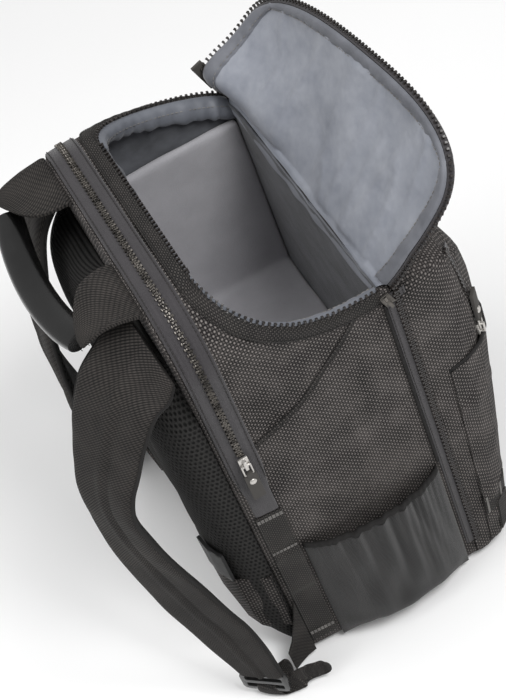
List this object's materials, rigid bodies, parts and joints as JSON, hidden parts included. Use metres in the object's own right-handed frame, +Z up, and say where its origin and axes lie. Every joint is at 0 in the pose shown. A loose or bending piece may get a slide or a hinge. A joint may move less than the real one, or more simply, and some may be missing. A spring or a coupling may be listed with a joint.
{
  "type": "camera backpack",
  "caption": "Padded camera backpack standing upright, top lid unzipped and folded forward, with leather carry handle, shoulder straps and mesh side pockets.",
  "frame": {"origin": "middle of the flat base that the bag stands on", "axes": "+X across the bag, away from the side seen in the picture; +Y from the front pocket to the back panel and straps; +Z up"},
  "size_m": [0.3636, 0.3669, 0.4964],
  "materials": {
    "woven_shell": "coarse ballistic weave, dark charcoal",
    "grey_lining": "smooth satin lining, cool grey",
    "grey_padding": "brushed padded cloth, light grey",
    "webbing_tape": "fine satin tape and webbing, charcoal",
    "zip_teeth": "moulded teeth, gunmetal sheen",
    "border_binding": "gathered satin binding, grey",
    "spacer_mesh": "spacer mesh with holes, black",
    "black_plastic": "glossy moulded plastic",
    "black_leather": "smooth glossy leather",
    "stretch_mesh": "stretch mesh, black",
    "nickel": "nickel plated, slightly worn",
    "pull_webbing": "folded webbing tab with a metal rivet"
  },
  "bodies": {
    "bag": {"main_shell": "woven_shell", "main_lining": "grey_lining", "padded_insert": "grey_padding", "mouth_tape": "webbing_tape", "mouth_chain": "zip_teeth", "mouth_border": "border_binding", "lid_lining": "grey_lining", "lid_panel": "woven_shell", "lid_chain": "zip_teeth", "front_compartment": "woven_shell", "front_pocket": "woven_shell", "front_zip_tape_near": "webbing_tape", "front_zip_chain_near": "zip_teeth", "front_piping_near": "webbing_tape", "front_zip_tape_far": "webbing_tape", "front_zip_chain_far": "zip_teeth", "front_piping_far": "webbing_tape", "back_zip_tape": "webbing_tape", "back_zip_chain": "zip_teeth", "back_panel": "woven_shell", "back_pad_near": "spacer_mesh", "back_pad_far": "spacer_mesh", "slot_pocket_near": "woven_shell", "belt_tip_near": "black_plastic", "slot_pocket_far": "woven_shell", "belt_tip_far": "black_plastic", "handle_grip": "black_leather", "handle_anchor_near": "woven_shell", "handle_anchor_far": "woven_shell", "shoulder_strap_near": "woven_shell", "shoulder_strap_far": "woven_shell", "front_pocket_chain": "zip_teeth", "lash_loop_near": "webbing_tape", "lash_loop_far": "webbing_tape", "side_webbing_near": "woven_shell", "side_webbing_far": "woven_shell", "mesh_pocket_near": "stretch_mesh", "pocket_binding_near": "webbing_tape", "mesh_pocket_far": "stretch_mesh", "pocket_binding_far": "webbing_tape", "ladder_lock_near": "black_plastic", "anchor_gusset_near": "woven_shell", "lower_webbing_near": "webbing_tape", "ladder_lock_far": "black_plastic", "anchor_gusset_far": "woven_shell", "lower_webbing_far": "webbing_tape", "slider_back_near": "nickel", "slider_back_far": "nickel", "slider_lid_far": "nickel", "slider_lid_near": "nickel", "slider_pocket_near": "nickel"},
    "pull_back_near": {"pull_link_back_near": "nickel", "pull_tab_back_near": "pull_webbing"},
    "pull_back_far": {"pull_link_back_far": "nickel", "pull_tab_back_far": "pull_webbing"},
    "pull_lid_far": {"pull_link_lid_far": "nickel", "pull_tab_lid_far": "pull_webbing"},
    "pull_pocket_near": {"pull_link_pocket_near": "nickel", "pull_tab_pocket_near": "pull_webbing"}
  },
  "joints": [
    {"name": "pull_back_near_hinge", "type": "hinge", "parent": "bag", "child": "pull_back_near", "pos_m": [-0.15365, 0.08, 0.28805], "axis": [0, 1, 0], "range_deg": [0, 150]},
    {"name": "pull_back_far_hinge", "type": "hinge", "parent": "bag", "child": "pull_back_far", "pos_m": [0.15365, 0.08, 0.28805], "axis": [0, -1, 0], "range_deg": [0, 150]},
    {"name": "pull_lid_far_hinge", "type": "hinge", "parent": "bag", "child": "pull_lid_far", "pos_m": [0.15395, -0.07147, 0.37551], "axis": [0, 0.9439, -0.3304], "range_deg": [0, 150]},
    {"name": "pull_pocket_near_hinge", "type": "hinge", "parent": "bag", "child": "pull_pocket_near", "pos_m": [-0.13005, -0.14533, 0.26725], "axis": [0.7828, -0.6222, 0], "range_deg": [0, 150]}
  ]
}
